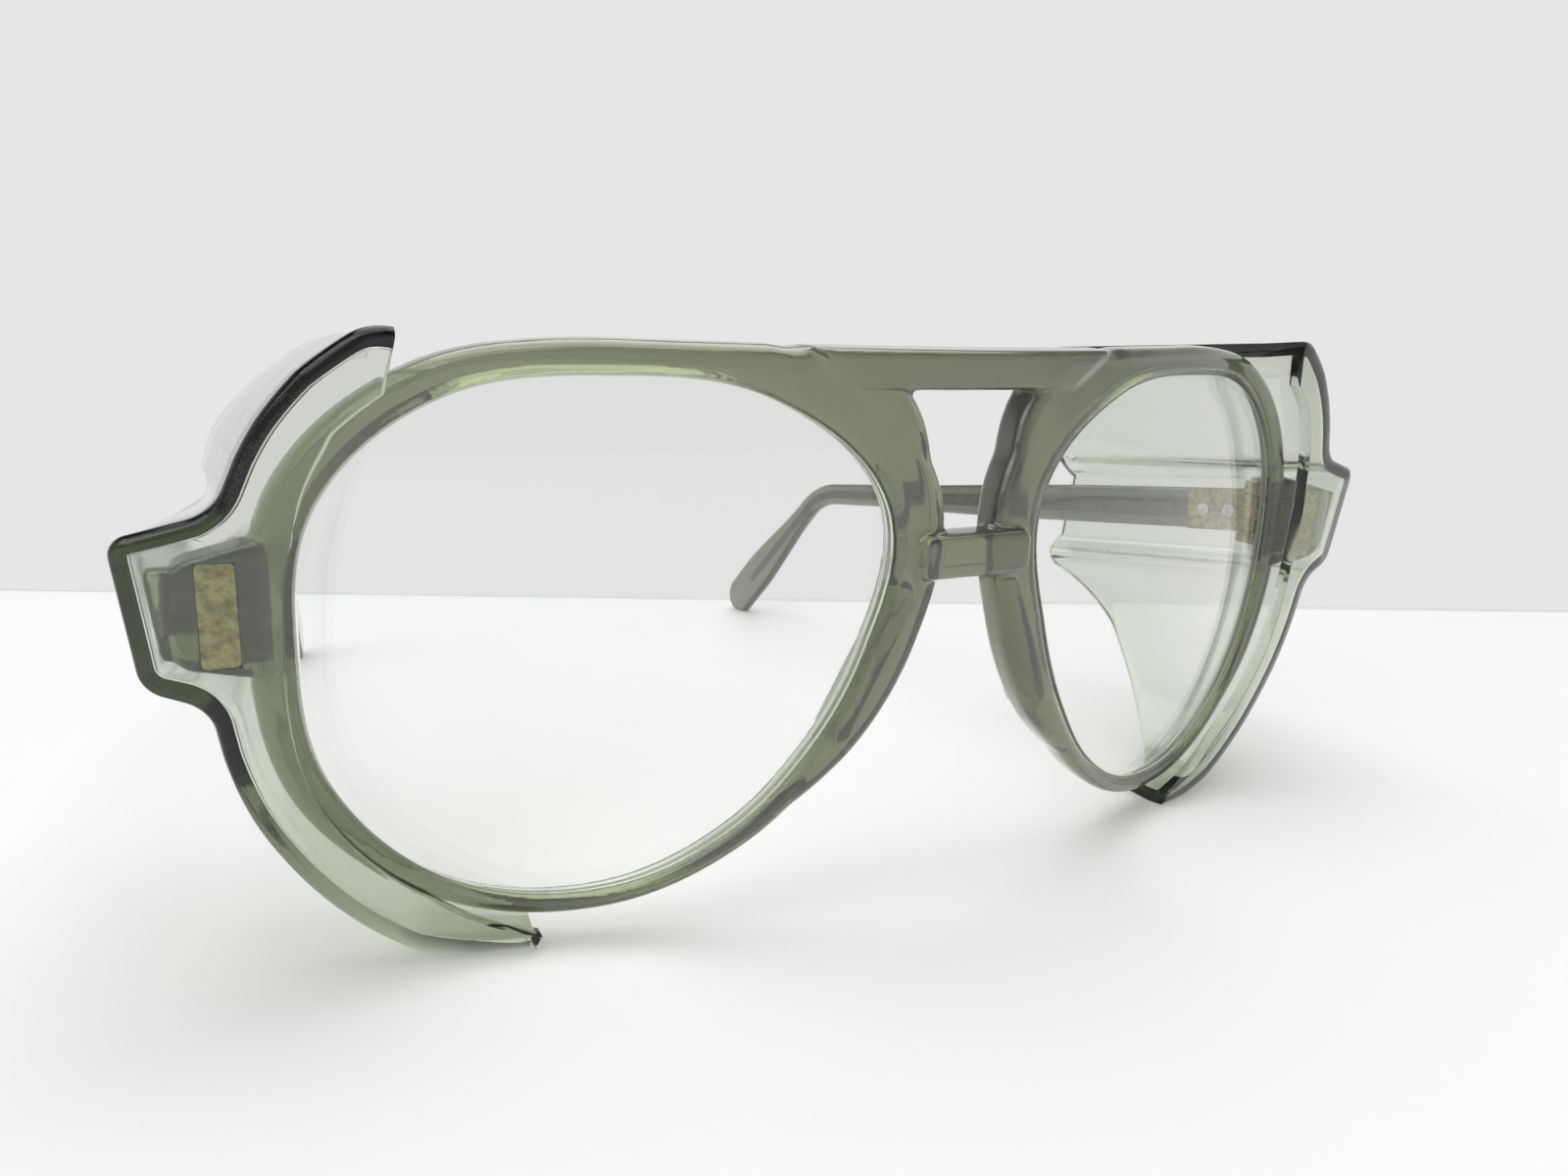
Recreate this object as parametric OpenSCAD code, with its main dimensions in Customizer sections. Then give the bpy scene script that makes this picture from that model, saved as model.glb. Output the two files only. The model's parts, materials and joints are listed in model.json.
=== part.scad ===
// Safety aviator eyeglasses: a moulded smoke front with a double bridge, two lenses in grooves,
// side shields that lap the rims and box in the temples, and wire-core temples on five-barrel hinges.
// The front is drawn in its own frame, X to the viewer's right, Y to the back and Z up, then the
// whole pair is leaned and lifted so that the shields' lower tips and the temple tips stand on Z = 0.
// Left and right are the wearer's, so left is +X.

/* [Lenses] */
// Lens width at the rim, edge to edge
lens_w = 56; // [50:0.5:58]
// Lens height at the rim
lens_h = 54; // [46:0.5:56]
// Distance between the two lenses at the bridge
bridge_gap = 18.4; // [16:0.2:22]
// Thickness of the safety lens
lens_t = 2.6; // [2:0.1:3]
// How far the lens's tongue stands into the rim's groove
bevel = 0.7; // [0.4:0.1:0.9]

/* [Front] */
// Radius of the ball that the whole front is curved to
front_r = 136; // [120:1:200]
// Depth of the rims from front to back
rim_d = 4.5; // [4:0.1:5.5]
// Width of the rims above the lenses
rim_w = 3.1; // [2.6:0.1:4]
// Width of the rims below the lenses
low_w = 2.2; // [2:0.1:3]
// Width of the rims beside the nose
nose_w = 6.5; // [5:0.1:6.6]
// Radius of the rounded edges of the rims
edge_r = 1; // [0.6:0.1:1.2]

/* [Bridges and nose pads] */
// Height of the straight brow bar
brow_h = 4.1; // [3:0.1:5]
// How far the brow bar runs to each side of the middle
brow_reach = 19; // [16:0.5:24]
// Height of the lower bridge
bridge_h = 4.8; // [3.5:0.1:6]
// Length of the lower bridge, over its rounded ends
bridge_w = 14; // [11:0.5:16]
// Height of the lower bridge's middle above the lens centres
bridge_z = 9.5; // [8:0.5:11]
// How far the moulded nose pads stand back from the rims
pad_d = 2.5; // [2:0.5:4]

/* [Endpieces] */
// Height of an endpiece where it leaves the rim
end_h = 13.5; // [12:0.5:15]
// How far an endpiece stands out past the lens edge
end_reach = 10.1; // [9:0.1:12]
// Height of the endpiece's middle, and of the hinge, above the lens centres
end_z = 4.8; // [3:0.1:6.5]
// Width of the gold anchor plate in the endpiece's face
plate_w = 3.4; // [2.5:0.1:4]
// Height of the anchor plate
plate_h = 10; // [8:0.5:11]
// Thickness of the anchor plate
plate_t = 0.8; // [0.5:0.1:1]

/* [Side shields] */
// Wall of the side shields
shield_t = 1.8; // [1.4:0.1:2.2]
// How far the shield's outline stands outside the lens edge
shield_w = 8; // [7:0.5:9]
// How far its lap over the rim stops short of the lens edge
lap_gap = 1.3; // [1:0.1:2]
// Room between the end of the endpiece and the inside of the shield's box
box_gap = 2.7; // [2:0.1:4]
// Outer height of the box round the temple
box_h = 14; // [12:0.5:15]
// Length of the box, behind the shield's face
box_len = 52; // [40:1:58]
// Inward slant of the shield's side wall
shield_toe = 6; // [2:0.5:7]

/* [Temples] */
// Length of a temple from the hinge to the bend behind the ear
straight = 103; // [92:1:106]
// Length of the ear end after the bend
drop = 41; // [34:1:46]
// Angle by which the ear end turns down
drop_angle = 38; // [30:1:45]
// Radius of the bend
bend_r = 16; // [10:1:24]
// Height of the temple near the hinge
temple_h = 6.4; // [5.5:0.1:7]
// Height of the temple just before the bend
waist_h = 4.5; // [3.8:0.1:5.5]
// Height of the paddle at the ear end
paddle_h = 8.8; // [6:0.1:10]
// Thickness of the temple
temple_t = 3.8; // [3:0.1:4.2]
// Inward slant of the open temples
toe = 8; // [4:0.5:10]
// Downward slant of the temples, against the front's own square
slant = 10.5; // [8:0.5:12]

/* [Hinges] */
// Height of the hinge over its five knuckles
hinge_h = 9; // [8:0.5:10]
// Outer radius of the knuckles
knuckle_r = 1.8; // [1.6:0.1:2]
// Radius of the hinge screw
screw_r = 0.7; // [0.6:0.05:0.8]
// Thickness of the hinge leaves
leaf_t = 1; // [0.8:0.1:1.2]
// Radius of the rivets that hold the leaves
rivet_r = 0.6; // [0.5:0.05:0.7]

/* [Hidden] */

// Running gap between pieces that seat on each other
seat_gap = 0.05;
// Gap between the shield's lap and the rim that it covers
lap_seat = 0.15;
// Gap left round the screw and the rivets
bore_gap = 0.05;

// Radius of the lens outline in parts of its half width and height, every 30 degrees from the
// temple side upwards: the high inner corner and the cut-away lower inner side make it an aviator
lens_shape = [1.00, 1.06, 1.055, 1.01, 1.085, 1.12, 0.91, 0.83, 0.875, 0.985, 1.07, 1.055];
shape_step = 360 / len(lens_shape);
lens_x = bridge_gap / 2 + lens_w / 2;

function pick(i) = lens_shape[(i + 2 * len(lens_shape)) % len(lens_shape)];
function blend4(a, b, c, d, t) =
    (2 * b + (c - a) * t + (2 * a - 5 * b + 4 * c - d) * t * t + (3 * b - a - 3 * c + d) * t * t * t) / 2;
function lens_unit(a) =
    let (s = a / shape_step, i = floor(s)) blend4(pick(i - 1), pick(i), pick(i + 1), pick(i + 2), s - i);
// A point of the lens outline at angle a, moved outwards by grow, as [x, z] from the middle of the front
function rim_point(a, grow) = [
    lens_x + (lens_w / 2 * lens_unit(a) + grow) * cos(a),
    (lens_h / 2 * lens_unit(a) + grow) * sin(a)
];

// Depth of the front's curved face at [x, z], and the flat face of the endpieces
function sag(p) = front_r - sqrt(front_r * front_r - p.x * p.x - p.y * p.y);
end_y = sag([lens_x + lens_w / 2, 0]);

// Polar angle of [x, z] round the lens centre
function lens_angle(p) = atan2(p.y, p.x - lens_x);
function clamp(v) = min(1, max(0, v));
// A smooth hump of 1 at the middle that is gone at a half width away
function hump(a, middle, half) =
    let (d = abs((a - middle + 540) % 360 - 180)) d < half ? cos(90 * d / half) : 0;

// Rims
rim_step = 6;
nose_angle = 160;
nose_span = 65;
corner_angle = 133;
corner_span = 15;
corner_extra = 2.8;
low_angle = 268;
low_span = 60;
cheek_angle = 15;
cheek_span = 60;
cheek_extra = 0.9;
inner_edge = 0.4;
groove_mouth = 1.8;
groove_floor = 1.2;
tongue_t = 1;
groove_room = 0.15;
groove_deep = bevel + groove_room;
lens_in = (rim_d - lens_t) / 2;
brow_top = lens_h / 2 * lens_unit(90) + rim_w;
// Width that keeps the rim's upper edge level with the top of the brow bar
function brow_limit(a) =
    a > 60 && a < 140 ? brow_top / sin(a) - lens_h / 2 * lens_unit(a) : lens_h;
function rim_width(a) = min(brow_limit(a), rim_w
    + (nose_w - rim_w) * hump(a, nose_angle, nose_span)
    + corner_extra * hump(a, corner_angle, corner_span)
    + (low_w - rim_w) * hump(a, low_angle, low_span)
    + cheek_extra * hump(a, cheek_angle, cheek_span));
// Section of a rim at angle a, as [outwards, backwards], round the groove and the rounded edges
function rim_section(a) =
    let (w = rim_width(a), mid = rim_d / 2, deep = groove_deep, r = edge_r)
    [
        [inner_edge, 0], [0, inner_edge],
        [0, mid - groove_mouth / 2], [deep, mid - groove_floor / 2],
        [deep, mid + groove_floor / 2], [0, mid + groove_mouth / 2],
        [0, rim_d - inner_edge], [inner_edge, rim_d],
        [w - r, rim_d], [w - 0.3 * r, rim_d - 0.3 * r], [w, rim_d - r],
        [w, r], [w - 0.3 * r, 0.3 * r], [w - r, 0]
    ];
// A rim follows the ball as deep as its groove and is square to the depth beyond
function on_front(a, out, back) =
    let (p = rim_point(a, out)) [p.x, sag(rim_point(a, min(out, groove_deep))) + back, p.y];

// Brow bar and lower bridge
brow_proud = 0.6;
brow_d = rim_d - 0.3;
bridge_proud = 0.9;
bridge_d = 4.2;
corner_r = 1.5;
bar_edge = 0.9;
bridge_corner = 1.2;
// The brow bar stands proud to its ends, which slope inwards to the bar's lower edge
brow_end_proud = 0.5;
brow_end_shrink = 0.1;
brow_low_share = 0.7;
// Ends of a nose pad: angle round the lens, way out from its edge, radius and softness of the rim
pad_top = [172, 3.6, 1.9, 0.9];
pad_low = [203, 2.6, 1.7, 1.2];
pad_top_share = 0.6;
pad_root = 1.1;

// Endpieces, anchor plates and hinges, on the +X side
end_x = lens_x + lens_w / 2 + end_reach;
end_root_reach = 3.6;
end_root = lens_x + lens_w / 2 + end_root_reach;
end_edge = 0.5;
end_taper = 2;
end_back = end_y + rim_d;
plate_x = end_x - 3.9;
rivet_space = 5.6;
leaf_w = 5.4;
pivot_x = end_x - 6.7;
leaf_x = pivot_x - knuckle_r + 0.4;
leaf_room = 0.2;
seat_over = 1.2;
knuckle = hinge_h / 5;
knuckle_gap = 0.1;
knuckle_room = 0.35;
pivot_y = end_back + leaf_t + knuckle_r + knuckle_room;
leaf_h = hinge_h - 2.8;
leaf_len = 9.5;
leaf_start = knuckle_r + 0.3;
web_w = 1.4;
web_in = 0.15;
slot_w = 0.3;
screw_head_r = 1.3;
screw_head_h = 0.6;
head_r = 0.95;
head_h = 0.35;
temple_rivets_y = [4.6, 8.8];

// Temples, in their own frame: the middle of the screw at the origin, Y along the temple, inner
// face at x = inner_x
inner_x = knuckle_r + 0.45;
butt_gap = 0.35;
butt = end_back + leaf_t + butt_gap - pivot_y;
tip_t = 2.4;
core_h = 3.2;
core_tip_h = 1.6;
core_t = 1.2;
core_tip_t = 0.9;
core_stop = 9;
core_room = 0.03;
core_edge = 0.5;
// The temple's middle line at s along it, as [back, up, angle turned down]
function along(s) =
    let (arc = bend_r * drop_angle * PI / 180)
    s <= straight ? [s, 0, 0]
    : s <= straight + arc
        ? let (b = (s - straight) / bend_r * 180 / PI)
          [straight + bend_r * sin(b), -bend_r * (1 - cos(b)), b]
    : let (d = s - straight - arc, b = drop_angle)
      [straight + bend_r * sin(b) + d * cos(b), -bend_r * (1 - cos(b)) - d * sin(b), b];
bend_len = bend_r * drop_angle * PI / 180;
full = straight + bend_len + drop;
paddle_at = full - 0.3 * drop;
function mix(a, b, t) = a + (b - a) * clamp(t);
function ease(t) = let (c = clamp(t)) c * c * (3 - 2 * c);
// Height and thickness of the temple at s along it
function temple_height(s) =
    s < straight ? mix(temple_h, waist_h, ease((s - 0.35 * straight) / (0.65 * straight)))
    : mix(waist_h, paddle_h, ease((s - straight - bend_len) / (paddle_at - straight - bend_len)));
function temple_thick(s) = mix(temple_t, tip_t, ease(s / full));
// The last stretch rounds off like the end of a spoon
function tip_round(s) =
    let (left = full - s, r = paddle_h / 2)
    left >= r ? 1 : sqrt(max(0.04, 1 - pow(1 - left / r, 2)));

// Side shields: stations along the outline from the upper end, round the box, whose middle lies
// box_up above the hinge, to the lower tip
shield_top_a = 59;
shield_tip_a = -78;
box_top_a = 24;
box_low_a = -6;
tip_taper = 2.2;
box_up = 0.6;
box_z = end_z + box_up;
box_x = end_x + box_gap + shield_t;
box_draft = 1.6;
// Fillets of the outline: above the box, at its two outer corners and below it
above_fillet = 6;
box_top_fillet = 2;
box_low_fillet = 3;
below_fillet = 5;
// The outline stands further out above the box and draws in below it
upper_extra = 1.2;
lower_waist = 1;
shield_round = 1.1;
wing_cut = 14;
wing_slant = 0.62;
wing_toe = 0.3;
low_start = 3;
tip_len = 6.5;
top_round = 1.3;
function shield_ring(a) = rim_point(
    a,
    shield_w + upper_extra * clamp((a - 28) / 18) - lower_waist * hump(a, -34, 34)
    - tip_taper * clamp((-a - 60) / 18)
    - top_round * pow(clamp((a - shield_top_a + 5) / 5), 2)
);
// Outer face of the lap: nearly flat from the endpiece's end, so that it stands off the curved rim
// above, and eased down onto the rim below
lap_rise = 0.22;
lap_fall = 0.052;
lap_drop = 0.5;
lap_flat = 2.2;
function ease_min(a, b) = (a + b - sqrt((a - b) * (a - b) + 1)) / 2;
function past_lens(p) =
    norm(p - [lens_x, 0]) - norm(rim_point(lens_angle(p), 0) - [lens_x, 0]);
function lap_face(p) = ease_min(
    end_y - shield_t + lap_rise * (p.x - end_x) - lap_fall * (p.y - end_z + end_h / 2 - end_taper),
    sag(rim_point(lens_angle(p), 0)) - shield_t - lap_seat + lap_drop * max(0, past_lens(p) - lap_flat)
);
// Inner edge of the lap at outline angle a: it draws back from the lens above and at the tip, and
// the upper end is cut upright
lap_back = 2.2;
lap_turn = 6.5;
function lap_edge(a) = rim_point(
    a - lap_turn * clamp((a - 40) / 20),
    lap_gap + lap_back * (clamp((a - 24) / 20) + clamp((-a - 56) / 22))
);
function unit(v) = v / norm(v);
// Points of a fillet of radius r at corner q between p and s
function fillet(p, q, s, r, n = 5) =
    let (
        u = unit(p - q), v = unit(s - q), half = acos(u * v) / 2,
        reach = min(r / tan(half), 0.45 * norm(p - q), 0.45 * norm(s - q)),
        rr = reach * tan(half), mid = q + unit(u + v) * (rr / sin(half)),
        a0 = atan2((q + u * reach - mid).y, (q + u * reach - mid).x),
        a1 = atan2((q + v * reach - mid).y, (q + v * reach - mid).x),
        turn = (a1 - a0 + 540) % 360 - 180
    )
    [for (i = [0 : n]) mid + rr * [cos(a0 + turn * i / n), sin(a0 + turn * i / n)]];
box_top = [box_x, box_z + box_h / 2];
box_low = [box_x - box_draft, box_z - box_h / 2];
outline = concat(
    [for (i = [0 : 6]) shield_ring(mix(shield_top_a, 32, i / 6))],
    fillet(shield_ring(32), shield_ring(box_top_a), box_top, above_fillet),
    fillet(shield_ring(box_top_a), box_top, box_low, box_top_fillet),
    fillet(box_top, box_low, shield_ring(box_low_a), box_low_fillet),
    fillet(box_low, shield_ring(box_low_a), shield_ring(-14), below_fillet),
    [for (a = [-14 : -6.4 : shield_tip_a]) shield_ring(a)]
);
last = len(outline) - 1;
function inward(i) =
    let (t = unit(outline[min(i + 1, last)] - outline[max(i - 1, 0)])) [t.y, -t.x];
// How far back the wall runs at outline point p, and how much of the temples' slant it follows
function wall_end(a) =
    let (
        end = end_y - shield_t + box_len,
        up = clamp((a - box_top_a) / (shield_top_a - box_top_a)),
        low = clamp((-a - low_start) / (-shield_tip_a - low_start))
    )
    up > 0 ? end - wing_cut * pow(up, 3)
    : mix(lap_face(shield_ring(shield_tip_a)) + tip_len, end, pow(1 - low, 1.25));
function slant_share(a) =
    a > 18 ? mix(1, wing_slant, (a - 18) / 12) : 1 - clamp((-a - 6) / 26);
function toe_at(a) =
    shield_toe * (a < 30 ? mix(1, 0.05, (a - 18) / 8) : mix(0.05, wing_toe, (a - 30) / 16));
// Section of the shield at station i: the lap over the rim, the rounded corner and the side wall
function shield_section(i) =
    let (
        p = outline[i], n = inward(i), a = lens_angle(p), q = lap_edge(a),
        back = wall_end(a), y0 = lap_face(p), run = back - y0,
        shift = [-tan(toe_at(a)) * run, -tan(slant) * run * slant_share(a)],
        m = [for (t = [0, 0.33, 0.67, 1]) q + (p + n * shield_round - q) * t],
        k = [for (t = [0, 0.33, 0.67]) q + (p + n * shield_t - q) * t],
        corner = p + n * 0.3 * shield_round, inner = p + n * shield_t
    )
    concat(
        [for (v = m) [v.x, lap_face(v), v.y]],
        [[corner.x, y0 + 0.3 * shield_round, corner.y]],
        [[p.x, y0 + shield_round, p.y]],
        [let (v = p + shift) [v.x, back, v.y]],
        [let (v = inner + shift) [v.x, back, v.y]],
        [[inner.x, y0 + shield_t, inner.y]],
        [for (j = [2, 1, 0]) [k[j].x, lap_face(k[j]) + shield_t, k[j].y]]
    );

// The temples' path in the front's frame, used to find how the pair stands
function to_front(v) =
    let (
        x = v.x * cos(toe) - v.y * sin(toe), y = v.x * sin(toe) + v.y * cos(toe),
        yy = y * cos(slant) + v.z * sin(slant), zz = v.z * cos(slant) - y * sin(slant)
    )
    [pivot_x + x, pivot_y + yy, end_z + zz];
tip_points = [
    for (s = [full - 12 : 1 : full]) let (c = along(s), h = temple_height(s) * tip_round(s) / 2)
    to_front([inner_x, c[0] - h * sin(c[2]), c[1] - h * cos(c[2])])
];
shield_points = [
    for (p = outline) if (lens_angle(p) < -40) [p.x, lap_face(p) + shield_round, p.y]
];
function height_at(v, tilt) = v.y * sin(tilt) + v.z * cos(tilt);
function lowest(list, tilt) =
    let (low = min([for (w = list) height_at(w, tilt)]))
    [for (v = list) if (height_at(v, tilt) <= low) v][0];
// The lean at which the shields' tips and the temples' tips are level
function level(tilt, n) =
    let (s = lowest(shield_points, tilt), e = lowest(tip_points, tilt))
    n == 0 ? tilt : level(atan2(s.z - e.z, e.y - s.y), n - 1);
lean = level(7, 4);
foot_cut = 0.25;
foot_depth = 20;
lift = -height_at(lowest(shield_points, lean), lean) - foot_cut;
end_points = [
    for (s = [full - 6 : 0.5 : full], g = [-1, 1], x = [inner_x, inner_x + tip_t])
    let (c = along(s), h = g * temple_height(s) * tip_round(s) / 2)
    to_front([x, c[0] + h * sin(c[2]), c[1] + h * cos(c[2])])
];
reach_back = max([for (v = end_points) v.y * cos(lean) - v.z * sin(lean)]);
reach_front = -bridge_proud * cos(lean) - (bridge_z + bridge_h / 2 - bar_edge) * sin(lean);
mid_y = (reach_back + reach_front) / 2;
echo(lean = lean, lift = lift, mid_y = mid_y, end_y = end_y, pivot_y = pivot_y, full = full);

// Faces that join a row of rings into a tube, open or closed on itself
function tube_faces(n, m, loop) = [
    for (i = [0 : n - (loop ? 1 : 2)], j = [0 : m - 1], h = [0, 1])
    let (k = (i + 1) % n, l = (j + 1) % m)
    h == 0 ? [i * m + j, k * m + l, k * m + j] : [i * m + j, i * m + l, k * m + l]
];
// Cap as a strip across a ring that is folded in two halves
function cap_faces(base, m, flip) = [
    for (j = [0 : m / 2 - 2], h = [0, 1])
    let (a = base + j, b = base + j + 1, c = base + m - 1 - j, d = base + m - 2 - j)
    let (f = h == 0 ? [a, b, d] : [a, d, c])
    if (f[0] != f[1] && f[1] != f[2] && f[0] != f[2]) flip ? [f[0], f[2], f[1]] : f
];
module tube(rings, loop = false) {
    n = len(rings);
    m = len(rings[0]);
    polyhedron(
        points = [for (r = rings, v = r) v],
        faces = concat(
            tube_faces(n, m, loop),
            loop ? [] : cap_faces(0, m, true),
            loop ? [] : cap_faces((n - 1) * m, m, false)
        )
    );
}

// Moves a piece from the front's frame to where it stands
module standing() {
    translate([0, -mid_y, lift]) rotate([lean, 0, 0]) children();
}
// Moves a piece to the screw, which stands square to the front, so that the folded temples slope
// down and pass each other at different heights
module on_screw() {
    translate([pivot_x, pivot_y, end_z]) children();
}
// Moves a piece from the temple's own frame to the front's
module on_temple() {
    on_screw() rotate([-slant, 0, 0]) rotate([0, 0, toe]) children();
}
module other_side(side) {
    if (side > 0) children();
    else mirror([1, 0, 0]) children();
}
// Keeps what lies above the surface that the pair stands on
module cut_foot() {
    wide = 4 * end_x;
    difference() {
        children();
        translate([-wide / 2, -full, -foot_depth]) cube([wide, 2 * full, foot_depth]);
    }
}

// A short round bar along Y with both rims bevelled, the building block of the hulls
module stud(p, r, y0, y1, e) {
    translate([p.x, y0, p.y]) rotate([-90, 0, 0]) {
        cylinder(r = r - e, h = y1 - y0, $fn = 24);
        translate([0, 0, e]) cylinder(r = r, h = y1 - y0 - 2 * e, $fn = 24);
    }
}

module rim() {
    tube([for (a = [0 : rim_step : 359]) [for (s = rim_section(a)) on_front(a, s[0], s[1])]], loop = true);
}
// One station of the brow bar: two studs above each other, on the curve of the front
module brow_station(x, proud, shrink = 0) {
    top = [x, brow_top - corner_r - shrink];
    low = [x * brow_low_share, brow_top - brow_h + corner_r + shrink / 2];
    for (at = [top, low]) {
        y = sag([at.x, brow_top - brow_h / 2]);
        stud(at, corner_r, y - proud, y + brow_d, bar_edge);
    }
}
module brow_bar() {
    stations = [-1, -0.5, 0, 0.5, 1];
    for (i = [0 : len(stations) - 2])
        hull() for (s = [stations[i], stations[i + 1]])
            brow_station(
                s * brow_reach,
                abs(s) == 1 ? brow_end_proud : brow_proud,
                abs(s) == 1 ? brow_end_shrink : 0
            );
}
module lower_bridge() {
    hull() for (s = [-1, 1], t = [-1, 1]) {
        at = [s * (bridge_w / 2 - bridge_corner), bridge_z + t * (bridge_h / 2 - bridge_corner)];
        stud(at, bridge_corner, -bridge_proud, bridge_d - bridge_proud, bar_edge);
    }
}
module nose_pad() {
    hull() for (end = [[pad_top, pad_top_share], [pad_low, 1]]) {
        at = rim_point(end[0][0], end[0][1]);
        rear = sag(at) + rim_d;
        stud(at, end[0][2], rear - pad_root, rear + end[1] * pad_d, end[0][3]);
    }
}
module endpiece() {
    hull() {
        for (s = [-1, 1]) {
            root = [end_root, end_z + s * (end_h / 2 - corner_r)];
            tip = [end_x - corner_r, end_z + s * (end_h / 2 - end_taper - corner_r)];
            stud(root, corner_r, end_y, end_back, end_edge);
            stud(tip, corner_r, end_y, end_back, end_edge);
        }
    }
}
module rivets_at(z_list, r, y0, y1) {
    for (z = z_list)
        translate([plate_x, y0, z]) rotate([-90, 0, 0]) cylinder(r = r, h = y1 - y0, $fn = 32);
}
end_rivets = [end_z - rivet_space / 2, end_z + rivet_space / 2];
// The moulded front in one piece: rims, brow bar, lower bridge, nose pads and endpieces
module front_body() {
    union() {
        for (side = [1, -1]) other_side(side) {
            rim();
            endpiece();
            nose_pad();
        }
        brow_bar();
        lower_bridge();
    }
}
module plate_pocket() {
    translate([plate_x - plate_w / 2 - seat_gap, end_y - 1, end_z - plate_h / 2 - seat_gap])
        cube([plate_w + 2 * seat_gap, plate_t + 1, plate_h + 2 * seat_gap]);
}
// Flat on the back of the rim for the hinge's leaf
module hinge_seat() {
    translate([leaf_x - leaf_room, end_back, end_z - hinge_h / 2 - seat_over])
        cube([leaf_w + 2 * leaf_room, rim_d, hinge_h + 2 * seat_over]);
}
module front() {
    color([0.52, 0.54, 0.46]) standing() difference() {
        front_body();
        for (side = [1, -1]) other_side(side) {
            plate_pocket();
            hinge_seat();
            rivets_at(end_rivets, rivet_r + seat_gap, end_y, end_back + 1);
        }
    }
}

// A ball-shaped slice of the lens, thick mm deep, at depth back from the front's face
module lens_slice(grow, back, thick) {
    intersection() {
        translate([0, 60, 0]) rotate([90, 0, 0]) linear_extrude(height = 90)
            polygon([for (a = [0 : rim_step : 359]) rim_point(a, grow)]);
        difference() {
            translate([0, front_r + back, 0]) sphere(r = front_r, $fn = 200);
            translate([0, front_r + back + thick, 0]) sphere(r = front_r, $fn = 200);
        }
    }
}
module lens(side) {
    color([0.93, 0.95, 0.93, 0.4]) standing() other_side(side) union() {
        lens_slice(-2 * seat_gap, lens_in, lens_t);
        lens_slice(bevel, (rim_d - tongue_t) / 2, tongue_t);
    }
}

module side_shield(side) {
    color([0.78, 0.8, 0.74, 0.6]) cut_foot() standing() other_side(side)
        tube([for (i = [0 : last]) shield_section(i)]);
}

module anchor_plate(side) {
    color([0.62, 0.56, 0.34]) standing() other_side(side)
        translate([plate_x - plate_w / 2, end_y, end_z - plate_h / 2]) cube([plate_w, plate_t, plate_h]);
}
module anchor_rivets(side) {
    color([0.75, 0.72, 0.62]) standing() other_side(side)
        rivets_at(end_rivets, rivet_r, end_y + plate_t, end_back + leaf_t);
}

// A knuckle of the hinge, counted from the bottom, round the screw
function knuckle_z(i) = -hinge_h / 2 + i * knuckle + knuckle_gap / 2;
module knuckle_at(i) {
    translate([0, 0, knuckle_z(i)]) cylinder(r = knuckle_r, h = knuckle - knuckle_gap, $fn = 48);
}
module screw_bore() {
    translate([0, 0, -hinge_h]) cylinder(r = screw_r + bore_gap, h = 2 * hinge_h, $fn = 48);
}
module front_hinge(side) {
    web = pivot_y - end_back - leaf_t / 2;
    color([0.72, 0.66, 0.46]) standing() other_side(side) difference() {
        union() {
            translate([leaf_x, end_back, end_z - hinge_h / 2]) cube([leaf_w, leaf_t, hinge_h]);
            on_screw() for (i = [0, 2, 4]) {
                knuckle_at(i);
                translate([leaf_x - pivot_x, -web, knuckle_z(i)]) cube([web_w, web, knuckle - knuckle_gap]);
            }
        }
        on_screw() screw_bore();
        rivets_at(end_rivets, rivet_r + seat_gap, end_back - 1, end_back + leaf_t + 1);
    }
}
module hinge_screw(side) {
    color([0.8, 0.78, 0.7]) standing() other_side(side) on_screw() difference() {
        union() {
            translate([0, 0, -hinge_h / 2]) cylinder(r = screw_r, h = hinge_h, $fn = 32);
            translate([0, 0, hinge_h / 2]) cylinder(r = screw_head_r, h = screw_head_h, $fn = 32);
        }
        translate([-screw_head_r, -slot_w / 2, hinge_h / 2 + screw_head_h / 2])
            cube([2 * screw_head_r, slot_w, screw_head_h]);
    }
}

module temple_holes(r) {
    for (y = temple_rivets_y)
        translate([-5, y, 0]) rotate([0, 90, 0]) cylinder(r = r, h = 20, $fn = 32);
}
module temple_hinge(side) {
    color([0.72, 0.66, 0.46]) standing() other_side(side) difference() {
        union() {
            on_temple() translate([inner_x - leaf_t, leaf_start, -leaf_h / 2])
                cube([leaf_t, leaf_len, leaf_h]);
            on_screw() for (i = [1, 3]) {
                knuckle_at(i);
                rotate([0, 0, toe]) translate([inner_x - leaf_t, 0, knuckle_z(i)])
                    cube([leaf_t - web_in, leaf_start + 1, knuckle - knuckle_gap]);
            }
        }
        on_screw() screw_bore();
        on_temple() temple_holes(rivet_r + seat_gap);
    }
}
module temple_rivets(side) {
    color([0.8, 0.78, 0.7]) standing() other_side(side) on_temple() for (y = temple_rivets_y)
        translate([inner_x - leaf_t, y, 0]) rotate([0, 90, 0]) {
            translate([0, 0, -head_h]) cylinder(r = head_r, h = head_h, $fn = 32);
            cylinder(r = rivet_r, h = leaf_t + temple_thick(y) - 0.4, $fn = 32);
        }
}

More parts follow.
